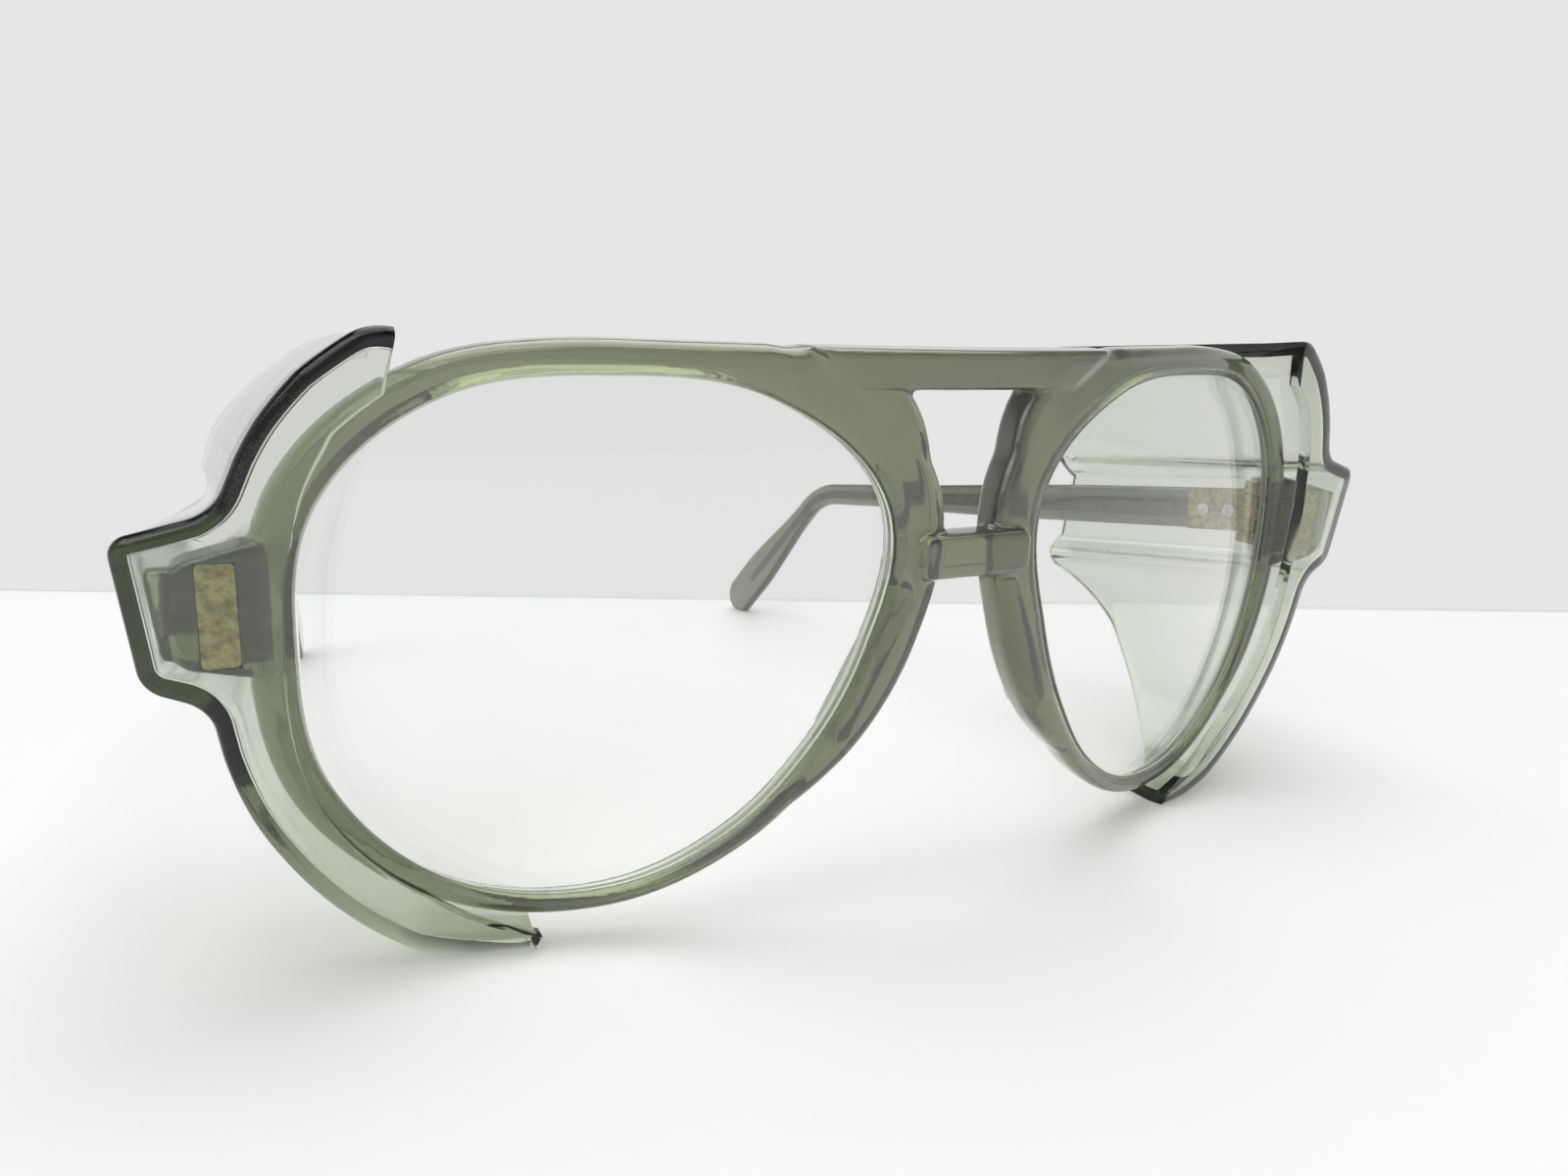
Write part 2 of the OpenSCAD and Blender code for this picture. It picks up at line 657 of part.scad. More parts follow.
// Ring of a rounded strip at s along the temple: h high, t thick, with its inner face at x
function strip_ring(s, x, h, t, r, mitre = 0) =
    let (
        c = along(s), e = min(r, 0.4 * t, 0.4 * h),
        shape = [
            for (q = [[1, 1, 0], [-1, 1, 90], [-1, -1, 180], [1, -1, 270]], i = [0, 0.5, 1])
            [q[0] * (t / 2 - e) + e * cos(q[2] + 90 * i), q[1] * (h / 2 - e) + e * sin(q[2] + 90 * i)]
        ]
    )
    [
        for (p = shape)
        let (px = x + t / 2 + p.x, cut = mitre * (-p.y * tan(slant) - px * tan(toe)))
        [px, c[0] + p.y * sin(c[2]) + cut, c[1] + p.y * cos(c[2])]
    ];
temple_stops = concat(
    [4, 12], [for (t = [0.2 : 0.13 : 0.9]) t * straight], [straight],
    [for (t = [0.25 : 0.25 : 1]) straight + t * bend_len],
    [for (t = [0.15 : 0.15 : 0.61]) straight + bend_len + t * drop],
    [for (d = [0.3 * drop, 0.22 * drop, paddle_h / 2, 2.4, 1.2, 0.5, 0.1]) full - d]
);
// The end at the hinge is eased all round, and the long edges are rounded
butt_ease = [0.3, 0.4, 0.5];
butt_edge = 0.8;
temple_edge = 1.1;
tip_thin = 0.7;
temple_rings = concat(
    [
        strip_ring(
            butt, inner_x + butt_ease.x, temple_h - 2 * butt_ease.z, temple_t - 2 * butt_ease.x, butt_edge, 1
        )
    ],
    [strip_ring(butt + butt_ease.y, inner_x, temple_h, temple_t, 1, 1)],
    [
        for (s = temple_stops)
        let (t = temple_thick(s) * (s > full - 1 ? tip_thin : 1))
        strip_ring(s, inner_x, temple_height(s) * tip_round(s), t, temple_edge)
    ]
);
core_stops = concat(
    [4, 12], [for (t = [0.2 : 0.13 : 0.9]) t * straight], [straight],
    [for (t = [0.25 : 0.25 : 1]) straight + t * bend_len],
    [full - 0.5 * drop, full - core_stop - 1, full - core_stop]
);
function core_ring(s, room) =
    let (
        k = clamp(s / (full - core_stop)), h = mix(core_h, core_tip_h, ease(k * 1.3)),
        t = mix(core_t, core_tip_t, k), mid = inner_x + temple_thick(s) / 2
    )
    strip_ring(s, mid - t / 2 - room, h + 2 * room, t + 2 * room, core_edge);
module core_body(room, front_end) {
    tube(concat([core_ring(front_end, room)], [for (s = core_stops) core_ring(s, room)]));
}
module temple_core(side) {
    color([0.36, 0.33, 0.28]) standing() other_side(side) on_temple() difference() {
        core_body(0, 1);
        temple_holes(rivet_r + seat_gap);
    }
}
module temple(side) {
    color([0.54, 0.52, 0.47]) cut_foot() standing() other_side(side) on_temple() difference() {
        tube(temple_rings);
        core_body(core_room, 1 - core_room);
        temple_holes(rivet_r + seat_gap);
    }
}

front();
lens(1);  // lens_left
lens(-1);  // lens_right
side_shield(1);  // side_shield_left
side_shield(-1);  // side_shield_right
anchor_plate(1);  // anchor_plate_left
anchor_plate(-1);  // anchor_plate_right
anchor_rivets(1);  // anchor_rivets_left
anchor_rivets(-1);  // anchor_rivets_right
front_hinge(1);  // front_hinge_left
front_hinge(-1);  // front_hinge_right
hinge_screw(1);  // hinge_screw_left
hinge_screw(-1);  // hinge_screw_right
temple_hinge(1);  // temple_hinge_left
temple_hinge(-1);  // temple_hinge_right
temple_rivets(1);  // temple_rivets_left
temple_rivets(-1);  // temple_rivets_right
temple_core(1);  // temple_core_left
temple_core(-1);  // temple_core_right
temple(1);  // temple_left
temple(-1);  // temple_right
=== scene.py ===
import json
import math

import bmesh
import bpy
from mathutils import Matrix, Vector


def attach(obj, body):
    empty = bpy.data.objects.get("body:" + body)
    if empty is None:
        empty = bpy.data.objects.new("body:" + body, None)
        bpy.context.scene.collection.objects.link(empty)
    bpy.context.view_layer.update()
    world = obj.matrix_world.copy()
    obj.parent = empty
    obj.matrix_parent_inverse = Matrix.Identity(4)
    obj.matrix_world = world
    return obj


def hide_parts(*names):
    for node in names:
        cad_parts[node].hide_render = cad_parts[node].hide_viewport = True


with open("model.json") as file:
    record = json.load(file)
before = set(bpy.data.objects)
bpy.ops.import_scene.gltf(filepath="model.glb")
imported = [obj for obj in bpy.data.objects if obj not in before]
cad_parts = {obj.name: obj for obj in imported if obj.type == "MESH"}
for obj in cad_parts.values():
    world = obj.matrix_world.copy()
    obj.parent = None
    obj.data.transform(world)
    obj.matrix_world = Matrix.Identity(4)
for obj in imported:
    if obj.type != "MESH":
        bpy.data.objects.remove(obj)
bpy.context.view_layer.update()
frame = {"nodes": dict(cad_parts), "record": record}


# ---- The moulded front ----
# One moulding of smoke grey-green cellulose plastic: two rims curved to a ball, a brow bar,
# a lower bridge, nose pads and endpieces, melted into each other by small fillets and polished.
lens_w, lens_h, lens_gap = 56.0, 54.0, 18.4
lens_x = lens_gap / 2 + lens_w / 2
lens_shape = [1.00, 1.06, 1.055, 1.01, 1.085, 1.12, 0.91, 0.83, 0.875, 0.985, 1.07, 1.055]
turn_steps = 240
turn_step = 360 / turn_steps
front_r, rim_w, rim_d, edge_r = 136.0, 3.1, 4.5, 1.0
groove_deep = 0.85
end_reach, end_z = 10.1, 4.8
end_x = lens_x + lens_w / 2 + end_reach
end_half_in, end_half_out = 6.75, 4.75
pivot_in, pivot_back = 6.7, 3.15
sides = ((1, "left"), (-1, "right"))


def ball(x, z):
    """How far the curved front lies back at x, z."""
    return front_r - math.sqrt(front_r ** 2 - x * x - z * z)


end_y = ball(lens_x + lens_w / 2, 0)
end_back = end_y + rim_d
pivot_f = Vector((end_x - pivot_in, end_back + pivot_back, end_z))

# How the pair stands comes from the fold joint: its axis is square to the front
fold = next(j for j in frame["record"]["behaviour"]["joints"] if j["name"] == "fold_left")
lean = math.atan2(-fold["axis"][1], fold["axis"][2])
stand = Matrix.Scale(0.001, 4) @ Matrix.Rotation(lean, 4, "X")
stand = Matrix.Translation(Vector(fold["pos_m"]) - stand @ pivot_f) @ stand


def lens_radius(a):
    """Lens outline in parts of its half size, on a smooth curve through twelve values."""
    step = (a % 360) / 30
    i, t = int(step), step - int(step)
    p, q, r, s = (lens_shape[(i + k) % 12] for k in (-1, 0, 1, 2))
    return (2 * q + (r - p) * t + (2 * p - 5 * q + 4 * r - s) * t ** 2
            + (3 * q - p - 3 * r + s) * t ** 3) / 2


def rim_point(a, grow):
    """The point at angle a, in degrees, this far outside the lens outline."""
    turn = math.radians(a)
    return (lens_x + (lens_w / 2 * lens_radius(a) + grow) * math.cos(turn),
            (lens_h / 2 * lens_radius(a) + grow) * math.sin(turn))


def hump(a, middle, half):
    """1 at the middle angle, falling to 0 at half the width from it."""
    away = abs((a - middle + 540) % 360 - 180)
    return math.cos(math.pi / 2 * away / half) if away < half else 0.0


brow_top = lens_h / 2 * lens_radius(90) + rim_w


def rim_width(a):
    """Width of the rim's face: broad by the nose, with a shoulder under the brow bar, narrow
    below, and a little wider towards the endpiece. It never rises above the brow."""
    wide = (rim_w + 3.4 * hump(a, 160, 65) + 2.8 * hump(a, 133, 15)
            - 0.9 * hump(a, 268, 60) + 0.9 * hump(a, 15, 60))
    if 60 < a < 140:
        wide = min(wide, brow_top / math.sin(math.radians(a)) - lens_h / 2 * lens_radius(a))
    return wide


def loft(rings, loop=False, folded=False):
    """Draws the first ring and extrudes it from ring to ring, in millimetres in the front's frame.
    The ends are filled in, or bridged from side to side where a ring is folded in two halves."""
    bm = bmesh.new()
    row = [bm.verts.new(p) for p in rings[0]]
    count = len(row)
    edges = [bm.edges.new((row[j - 1], row[j])) for j in range(count)]
    first = list(row)
    for ring in rings[1:] + (rings[:1] if loop else []):
        grown = bmesh.ops.extrude_edge_only(bm, edges=edges)["geom"]
        fresh = {g for g in grown if isinstance(g, bmesh.types.BMVert)}
        edges = [g for g in grown if isinstance(g, bmesh.types.BMEdge) and set(g.verts) <= fresh]
        row = [next(e.other_vert(v) for e in v.link_edges if e.other_vert(v) in fresh) for v in row]
        for v, p in zip(row, ring):
            v.co = p
    if loop:
        bmesh.ops.remove_doubles(bm, verts=bm.verts, dist=0.001)
    else:
        for end in (first, row):
            around = [bm.edges.get((end[j - 1], end[j])) for j in range(count)]
            if folded:
                half = count // 2
                facing_edges = [e for j, e in enumerate(around) if j not in (0, half)]
                bmesh.ops.bridge_loops(bm, edges=facing_edges)
            else:
                filled = bmesh.ops.holes_fill(bm, edges=around)["faces"]
                bmesh.ops.poke(bm, faces=filled)
    bmesh.ops.recalc_face_normals(bm, faces=bm.faces)
    return bm


def to_side(side):
    """Leaves the left half as it is, and mirrors it to the right one where side is -1."""
    return Matrix.Diagonal((side, 1, 1, 1))


foot_height, sharp_turn = 0.00002, math.radians(35)


def as_piece(bm, name, place=stand, side=1, smooth=True, foot=False):
    """Makes the object, set down where the pair stands; side -1 mirrors it to the right half.
    A piece with a foot is ground flat where it stands."""
    bmesh.ops.transform(bm, matrix=place @ to_side(side), verts=bm.verts)
    if foot:
        bmesh.ops.bisect_plane(bm, geom=list(bm.verts) + list(bm.edges) + list(bm.faces),
                               plane_co=(0, 0, foot_height), plane_no=(0, 0, 1), clear_inner=True)
        bmesh.ops.holes_fill(bm, edges=[e for e in bm.edges if e.is_boundary])
    bmesh.ops.recalc_face_normals(bm, faces=bm.faces)
    mesh = bpy.data.meshes.new(name)
    bm.to_mesh(mesh)
    bm.free()
    obj = bpy.data.objects.new(name, mesh)
    bpy.context.collection.objects.link(obj)
    for poly in mesh.polygons:
        poly.use_smooth = smooth
    if smooth:
        mesh.set_sharp_from_angle(angle=sharp_turn)
    return obj


def arc(cx, cy, r, a0, a1, n):
    """Points of an arc from angle a0 to a1, in degrees, in n steps."""
    return [(cx + r * math.cos(math.radians(a0 + (a1 - a0) * i / n)),
             cy + r * math.sin(math.radians(a0 + (a1 - a0) * i / n))) for i in range(n + 1)]


def rim_section(a):
    """Section of a rim, outwards and backwards, with the groove and the rounded edges."""
    w, mid, r = rim_width(a), rim_d / 2, edge_r
    mouth_half, floor_half, rear_edge, eased_by = 0.9, 0.6, 0.4, 0.12
    soft = min(1.7, 0.6 * w)
    # The inner edge is flared towards the nose
    flare = 0.5 + 0.7 * hump(a, 185, 80)
    flare_back = 0.85 * flare
    return ([(flare, 0), (eased_by, flare_back), (0, flare_back + eased_by), (0, mid - mouth_half),
             (groove_deep, mid - floor_half), (groove_deep, mid + floor_half),
             (0, mid + mouth_half), (0, rim_d - rear_edge),
             (eased_by, rim_d - eased_by), (rear_edge, rim_d)]
            + arc(w - r, rim_d - r, r, 90, 0, 5) + arc(w - soft, soft, soft, 0, -90, 7))


def rim_ring(a):
    """The rim's section set on the ball; outside the groove it keeps the depth of the groove."""
    ring = []
    for out, back in rim_section(a):
        x, z = rim_point(a, out)
        ring.append((x, ball(*rim_point(a, min(out, groove_deep))) + back, z))
    return ring


def eased(bm, edges, offset, segments, **more):
    """Rounds these edges."""
    bmesh.ops.bevel(bm, geom=edges, offset=offset, segments=segments, profile=0.5,
                    affect="EDGES", material=-1, **more)


def sharper_than(bm, angle):
    return [e for e in bm.edges if len(e.link_faces) == 2 and e.calc_face_angle() > angle]


def block(corners, y0, y1, corner, edge):
    """A flat block cut to an outline, its corners rounded and its rims eased."""
    bm = bmesh.new()
    face = bm.faces.new([bm.verts.new((x, y0, z)) for x, z in corners])
    grown = bmesh.ops.extrude_face_region(bm, geom=[face])["geom"]
    back = [g for g in grown if isinstance(g, bmesh.types.BMVert)]
    bmesh.ops.translate(bm, vec=(0, y1 - y0, 0), verts=back)
    bmesh.ops.recalc_face_normals(bm, faces=bm.faces)
    posts = [e for e in bm.edges if abs(e.verts[0].co.y - e.verts[1].co.y) > 0.5 * (y1 - y0)]
    eased(bm, posts, corner, 6)
    eased(bm, sharper_than(bm, 1.2), edge, 4)
    return bm


def oblong(x0, x1, z0, z1):
    return [(x0, z0), (x1, z0), (x1, z1), (x0, z1)]


def into(bm, *parts):
    """Puts the parts into one bmesh."""
    for part in parts:
        mesh = bpy.data.meshes.new("part")
        part.to_mesh(mesh)
        part.free()
        bm.from_mesh(mesh)
        bpy.data.meshes.remove(mesh)
    return bm


def endpiece():
    root = lens_x + lens_w / 2 + 2.1
    face = block([(root, end_z - end_half_in), (end_x, end_z - end_half_out),
                  (end_x, end_z + end_half_out), (root, end_z + end_half_in)],
                 end_y, end_back, 1.5, 0.55)
    # A step lower, it reaches on nearly to the wall of the shield's box
    inside, bottom, top = end_x - 2, end_z - 4, end_z + 4.5
    step = block([(inside, bottom), (end_x + 0.8, bottom), (end_x + 1.7, top), (inside, top)],
                 end_y + 0.3, end_y + 2.6, 0.5, 0.3)
    return into(face, step)


def nose_pad():
    """Two flattened balls on the back of the rim, the upper and the lower, and all between them."""
    proud = 0.35
    bm = bmesh.new()
    for a, out, r, back in ((172, 3.6, 1.9, 1.5), (203, 2.6, 1.7, 2.5)):
        x, z = rim_point(a, out)
        y = ball(x, z) + rim_d
        made = bmesh.ops.create_uvsphere(bm, u_segments=24, v_segments=16, radius=1)["verts"]
        flattened = Matrix.Translation((x, y + proud, z)) @ Matrix.Diagonal((r, back - proud, r, 1))
        bmesh.ops.transform(bm, verts=made, matrix=flattened)
    bmesh.ops.convex_hull(bm, input=bm.verts)
    return bm


def brow_bar():
    wide, deep, high, middle_y = 38, 5.2, 4.1, 1.6
    middle_z = brow_top - high / 2
    bm = bmesh.new()
    bmesh.ops.create_cube(bm, size=1)
    bmesh.ops.transform(bm, verts=bm.verts, matrix=Matrix.Diagonal((wide, deep, high, 1)))
    # Its ends slope inwards to its lower edge
    for v in bm.verts:
        v.co.x *= 0.7 if v.co.z < 0 else 1
    eased(bm, bm.edges, 0.7, 4)
    lengthwise = [e for e in bm.edges if abs(e.verts[0].co.x - e.verts[1].co.x) > wide / 2]
    bmesh.ops.subdivide_edges(bm, edges=lengthwise, cuts=39, use_grid_fill=True)
    for v in bm.verts:
        v.co.y += middle_y + ball(v.co.x, middle_z)
        v.co.z += middle_z
    return bm


def lower_bridge():
    half_w, half_h, z = 7, 2.4, 9.5
    return block(oblong(-half_w, half_w, z - half_h, z + half_h), -0.9, 3.3, 1.2, 0.9)


def shaped(obj, *steps):
    """Runs the modifiers given as (kind, settings) and keeps what they make as the piece's mesh."""
    for kind, settings in steps:
        mod = obj.modifiers.new(kind.lower(), kind)
        for key, value in settings.items():
            setattr(mod, key, value)
    made = bpy.data.meshes.new_from_object(obj.evaluated_get(bpy.context.evaluated_depsgraph_get()))
    obj.modifiers.clear()
    obj.data = made
    return obj


body_bm = bmesh.new()
for side in (1, -1):
    rim = loft([rim_ring(k * turn_step) for k in range(turn_steps)], loop=True)
    half = into(bmesh.new(), rim, endpiece(), nose_pad())
    bmesh.ops.transform(half, matrix=to_side(side), verts=half.verts)
    bmesh.ops.recalc_face_normals(half, faces=half.faces)
    into(body_bm, half)
into(body_bm, brow_bar(), lower_bridge())
front = as_piece(body_bm, "moulded_front")
front = shaped(front,
               ("REMESH", dict(mode="VOXEL", voxel_size=0.00032, use_smooth_shade=True)),
               ("SMOOTH", dict(factor=0.5, iterations=4)))

# The pockets for the gold plates and the flats behind for the hinge leaves are cut sharp
plate_pocket = ((end_x - 5.65, end_y - 1, end_z - 5.05),
                (end_x - 2.15, end_y + 0.82, end_z + 5.05))
leaf_flat = ((end_x - 8.3, end_back - 0.035, end_z - 5.7),
             (end_x - 2.5, end_back + 3, end_z + 5.7))
cut_bm = bmesh.new()
for side in (1, -1):
    for corners in (plate_pocket, leaf_flat):
        low, high = (Vector(corner) for corner in corners)
        made = bmesh.ops.create_cube(cut_bm, size=1)["verts"]
        bmesh.ops.transform(cut_bm, verts=made,
                            matrix=(to_side(side) @ Matrix.Translation((low + high) / 2)
                                    @ Matrix.Diagonal((*(high - low), 1))))
cutter = as_piece(cut_bm, "front_pockets", smooth=False)
front = shaped(front, ("BOOLEAN", dict(operation="DIFFERENCE", object=cutter, solver="EXACT")))
bpy.data.objects.remove(cutter)
# Slivers that the cuts left, in metres, are cleared
sliver = 0.000002
cleaned = bmesh.new()
cleaned.from_mesh(front.data)
bmesh.ops.remove_doubles(cleaned, verts=cleaned.verts, dist=sliver)
bmesh.ops.dissolve_degenerate(cleaned, dist=sliver, edges=cleaned.edges)
cleaned.to_mesh(front.data)
cleaned.free()


def clear_plastic(name, tint, density, rough, cast, lamp_share, bump=0.02, bump_size=900.0,
                  ior=1.49, cloud=0.0, cloudy=(1, 1, 1)):
    """Polished see-through plastic: what it takes from the light grows with the way through it.
    Lamps reach through it with the colour cast, as they do through the thin real pieces; cloud is
    the share of light that the plastic scatters back, in the colour cloudy."""
    mat = bpy.data.materials.new(name)
    mat.use_nodes = True
    nodes, links = mat.node_tree.nodes, mat.node_tree.links
    nodes.clear()
    out = nodes.new("ShaderNodeOutputMaterial")
    skin = nodes.new("ShaderNodeBsdfPrincipled")
    skin.inputs["Base Color"].default_value = (*cloudy, 1)
    skin.inputs["Transmission Weight"].default_value = 1 - cloud
    skin.inputs["IOR"].default_value = ior
    if cloud:
        skin.inputs["Coat Weight"].default_value = 0.6
        skin.inputs["Coat Roughness"].default_value = 0.03
    coords = nodes.new("ShaderNodeTexCoord")
    # Handling dulls the polish in cloudy patches
    dull = nodes.new("ShaderNodeTexNoise")
    dull.inputs["Scale"].default_value = 60
    dull.inputs["Detail"].default_value = 4
    rough_range = nodes.new("ShaderNodeMapRange")
    rough_range.inputs["From Min"].default_value = 0.35
    rough_range.inputs["From Max"].default_value = 0.75
    rough_range.inputs["To Min"].default_value = rough * 0.4
    rough_range.inputs["To Max"].default_value = rough * 1.8
    links.new(coords.outputs["Object"], dull.inputs["Vector"])
    links.new(dull.outputs["Fac"], rough_range.inputs["Value"])
    links.new(rough_range.outputs["Result"], skin.inputs["Roughness"])
    # The faint ripple of a hand-polished moulding
    ripple = nodes.new("ShaderNodeTexNoise")
    ripple.inputs["Scale"].default_value = bump_size
    ripple.inputs["Detail"].default_value = 2
    raised = nodes.new("ShaderNodeBump")
    raised.inputs["Strength"].default_value = bump
    raised.inputs["Distance"].default_value = 0.0002
    links.new(coords.outputs["Object"], ripple.inputs["Vector"])
    links.new(ripple.outputs["Fac"], raised.inputs["Height"])
    links.new(raised.outputs["Normal"], skin.inputs["Normal"])
    # Lamps pass, so that what lies behind and below the plastic is lit
    lamps = nodes.new("ShaderNodeBsdfTransparent")
    lamps.inputs["Color"].default_value = (*cast, 1)
    path = nodes.new("ShaderNodeLightPath")
    share = nodes.new("ShaderNodeMath")
    share.operation = "MULTIPLY"
    share.inputs[1].default_value = lamp_share
    either = nodes.new("ShaderNodeMixShader")
    links.new(path.outputs["Is Shadow Ray"], share.inputs[0])
    links.new(share.outputs[0], either.inputs[0])
    links.new(skin.outputs[0], either.inputs[1])
    links.new(lamps.outputs[0], either.inputs[2])
    links.new(either.outputs[0], out.inputs["Surface"])
    if density:
        body = nodes.new("ShaderNodeVolumeAbsorption")
        body.inputs["Color"].default_value = (*tint, 1)
        body.inputs["Density"].default_value = density
        links.new(body.outputs[0], out.inputs["Volume"])
    return mat


smoke = clear_plastic("smoke_plastic", (0.46, 0.50, 0.32), 610, 0.1, (0.62, 0.64, 0.55), 0.9,
                      cloud=0.09, cloudy=(0.80, 0.83, 0.73))
front.data.materials.clear()
front.data.materials.append(smoke)
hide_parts("front")
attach(front, "front_frame")


# ---- The lenses ----
# Clear safety lenses 2.6 mm thick, on the same ball as the front, with a bevelled tongue that
# snaps into the groove of the rim.
lens_t = 2.6


def lens_ring(share, grow, back):
    """The lens outline, grown and then drawn in to this share of its size, on the ball."""
    ring = []
    for k in range(turn_steps):
        x, z = rim_point(k * turn_step, grow)
        x, z = lens_x + (x - lens_x) * share, z * share
        ring.append((x, ball(x, z) + back, z))
    return ring


def lens_bm():
    front_face, rear_face, tongue = (rim_d - lens_t) / 2, (rim_d + lens_t) / 2, rim_d / 2
    face_out, tongue_out, bevel = -0.1, 0.7, 0.12
    near_edge = (-0.4, -0.22)
    shares = [0.03] + [s / 14 for s in range(1, 14)]
    rows = [lens_ring(s, face_out, front_face) for s in shares]
    rows += [lens_ring(1, out, front_face) for out in near_edge]
    edge = [lens_ring(1, out, back) for out, back in (
        (face_out, front_face + bevel), (face_out, tongue - 0.5), (tongue_out, tongue - 0.4),
        (tongue_out, tongue + 0.4), (face_out, tongue + 0.5), (face_out, rear_face - bevel))]
    polished = len(rows) - 1
    rows += edge
    rows += [lens_ring(1, out, rear_face) for out in reversed(near_edge)]
    rows += [lens_ring(s, face_out, rear_face) for s in reversed(shares)]
    bm = loft(rows)
    # The edge between the two faces is ground matt
    bm.faces.ensure_lookup_table()
    for face in bm.faces[polished * turn_steps:(polished + len(edge) + 1) * turn_steps]:
        face.material_index = 1
    return bm


lens_glass = clear_plastic("clear_lens", (1, 1, 1), 0, 0.012, (0.95, 0.96, 0.95), 1.0,
                           bump=0.0, ior=1.5, cloudy=(0.95, 0.965, 0.945))
ground_edge = clear_plastic("ground_edge", (1, 1, 1), 0, 0.4, (0.95, 0.96, 0.95), 1.0,
                            bump=0.2, ior=1.5, cloud=0.45, cloudy=(0.66, 0.69, 0.59))
for side, name in sides:
    lens = as_piece(lens_bm(), f"safety_lens_{name}", side=side)
    lens.data.materials.append(lens_glass)
    lens.data.materials.append(ground_edge)
    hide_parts(f"lens_{name}")
    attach(lens, "front_frame")


# ---- The side shields ----
# Pressed from nearly clear cellulose sheet 1.8 mm thick: a lap glued over the rim, a rounded
# corner, and a wall that boxes out round the endpiece and temple between two wings.
shield_t, shield_w, shield_round, inner_round, shield_toe = 1.8, 8, 1.0, 0.15, 6.0
shield_top_a, box_top_a, box_low_a, shield_tip_a = 59, 24, -6, -78
box_gap, box_up, box_h, box_draft, box_len = 2.68, 0.6, 14.0, 1.6, 52
box_top_fillet, box_low_fillet = 2, 3
box_x, box_z = end_x + box_gap + shield_t, end_z + box_up
tip_taper, tip_len, wing_cut, wing_slant, wing_toe = 2.2, 6.5, 14, 0.62, 0.3
lap_gap, lap_seat, lap_back, lap_turn = 1.3, 0.15, 2.2, 6.5
lap_rise, lap_fall, lap_drop, lap_flat = 0.22, 0.052, 0.5, 2.2
slant = 10.5


def clamp(v):
    return min(1.0, max(0.0, v))


def mix(a, b, t):
    return a + (b - a) * clamp(t)


def shield_ring(a):
    """The corner line between lap and wall along both wings, at angle a round the lens."""
    out = (shield_w + 1.2 * clamp((a - 28) / 18) - hump(a, -34, 34)
           - tip_taper * clamp((-a - 60) / 18) - 1.3 * clamp((a - shield_top_a + 5) / 5) ** 2
           - 0.17 * hump(a, 52, 14))
    return Vector(rim_point(a, out))


def lap_face(p):
    """How far back the lap's face lies: over the rim near the lens, on the box's flat further
    out, with a soft change between the two."""
    flat = end_y - shield_t + lap_rise * (p.x - end_x) - lap_fall * (p.y - end_z + end_half_in - 2)
    a = math.degrees(math.atan2(p.y, p.x - lens_x))
    edge = Vector(rim_point(a, 0))
    past = (p - Vector((lens_x, 0))).length - (edge - Vector((lens_x, 0))).length
    near = ball(*edge) - shield_t - lap_seat + lap_drop * max(0.0, past - lap_flat)
    return (flat + near - math.sqrt((flat - near) ** 2 + 1)) / 2


def lap_edge(a):
    """The lap's edge on the rim, which draws back from the lens along both wings."""
    out = lap_gap + lap_back * clamp((a - box_top_a) / 20) + lap_back * clamp((-a - 56) / 22)
    return Vector(rim_point(a - lap_turn * clamp((a - 40) / 20), out))


def fillet(p, q, s, r, n):
    """The corner at q, on the way from p to s, rounded to radius r in n steps."""
    u, v = (p - q).normalized(), (s - q).normalized()
    half = math.acos(u.dot(v)) / 2
    reach = min(r / math.tan(half), 0.45 * (p - q).length, 0.45 * (s - q).length)
    rr = reach * math.tan(half)
    mid = q + (u + v).normalized() * (rr / math.sin(half))
    first, final = q + u * reach - mid, q + v * reach - mid
    a0 = math.atan2(first.y, first.x)
    turn = (math.atan2(final.y, final.x) - a0 + 3 * math.pi) % (2 * math.pi) - math.pi
    turns = [a0 + turn * i / n for i in range(n + 1)]
    return [mid + rr * Vector((math.cos(b), math.sin(b))) for b in turns]


def shield_outline():
    """The whole corner line: down the upper wing, out round the box and on to the lower tip."""
    top = Vector((box_x, box_z + box_h / 2))
    low = Vector((box_x - box_draft, box_z - box_h / 2))
    box_start, box_end = shield_ring(box_top_a), shield_ring(box_low_a)
    points = [shield_ring(shield_top_a - i) for i in range(28)]
    points += fillet(shield_ring(32), box_start, top, 6, 14)
    points += fillet(box_start, top, low, box_top_fillet, 10)
    points += fillet(top, low, box_end, box_low_fillet, 10)
    points += fillet(low, box_end, shield_ring(-14), 5, 12)
    points += [shield_ring(-14 - 1.28 * i) for i in range(51)]
    least_step = 0.25
    even = [points[0]]
    for p in points[1:]:
        if (p - even[-1]).length > least_step:
            even.append(p)
    return even


def wall_end(a):
    """How far back the wall reaches: longest at the box, cut away along both wings."""
    end = end_y - shield_t + box_len
    up = clamp((a - box_top_a) / (shield_top_a - box_top_a))
    if up > 0:
        return end - wing_cut * up ** 3
    tip = lap_face(shield_ring(shield_tip_a)) + tip_len
    return mix(tip, end, (1 - clamp((-a - 3) / 75)) ** 1.25)


def slant_share(a):
    """The share of the temple's slant that the wall follows: all of it at the box."""
    return mix(1, wing_slant, (a - 18) / 12) if a > 18 else 1 - clamp((-a + box_low_a) / 26)


def toe_at(a):
    """How far the wall turns inwards, in degrees: hardly at all just above the box."""
    straight_up = 0.05
    return shield_toe * (mix(1, straight_up, (a - 18) / 8) if a < 30
                         else mix(straight_up, wing_toe, (a - 30) / 16))


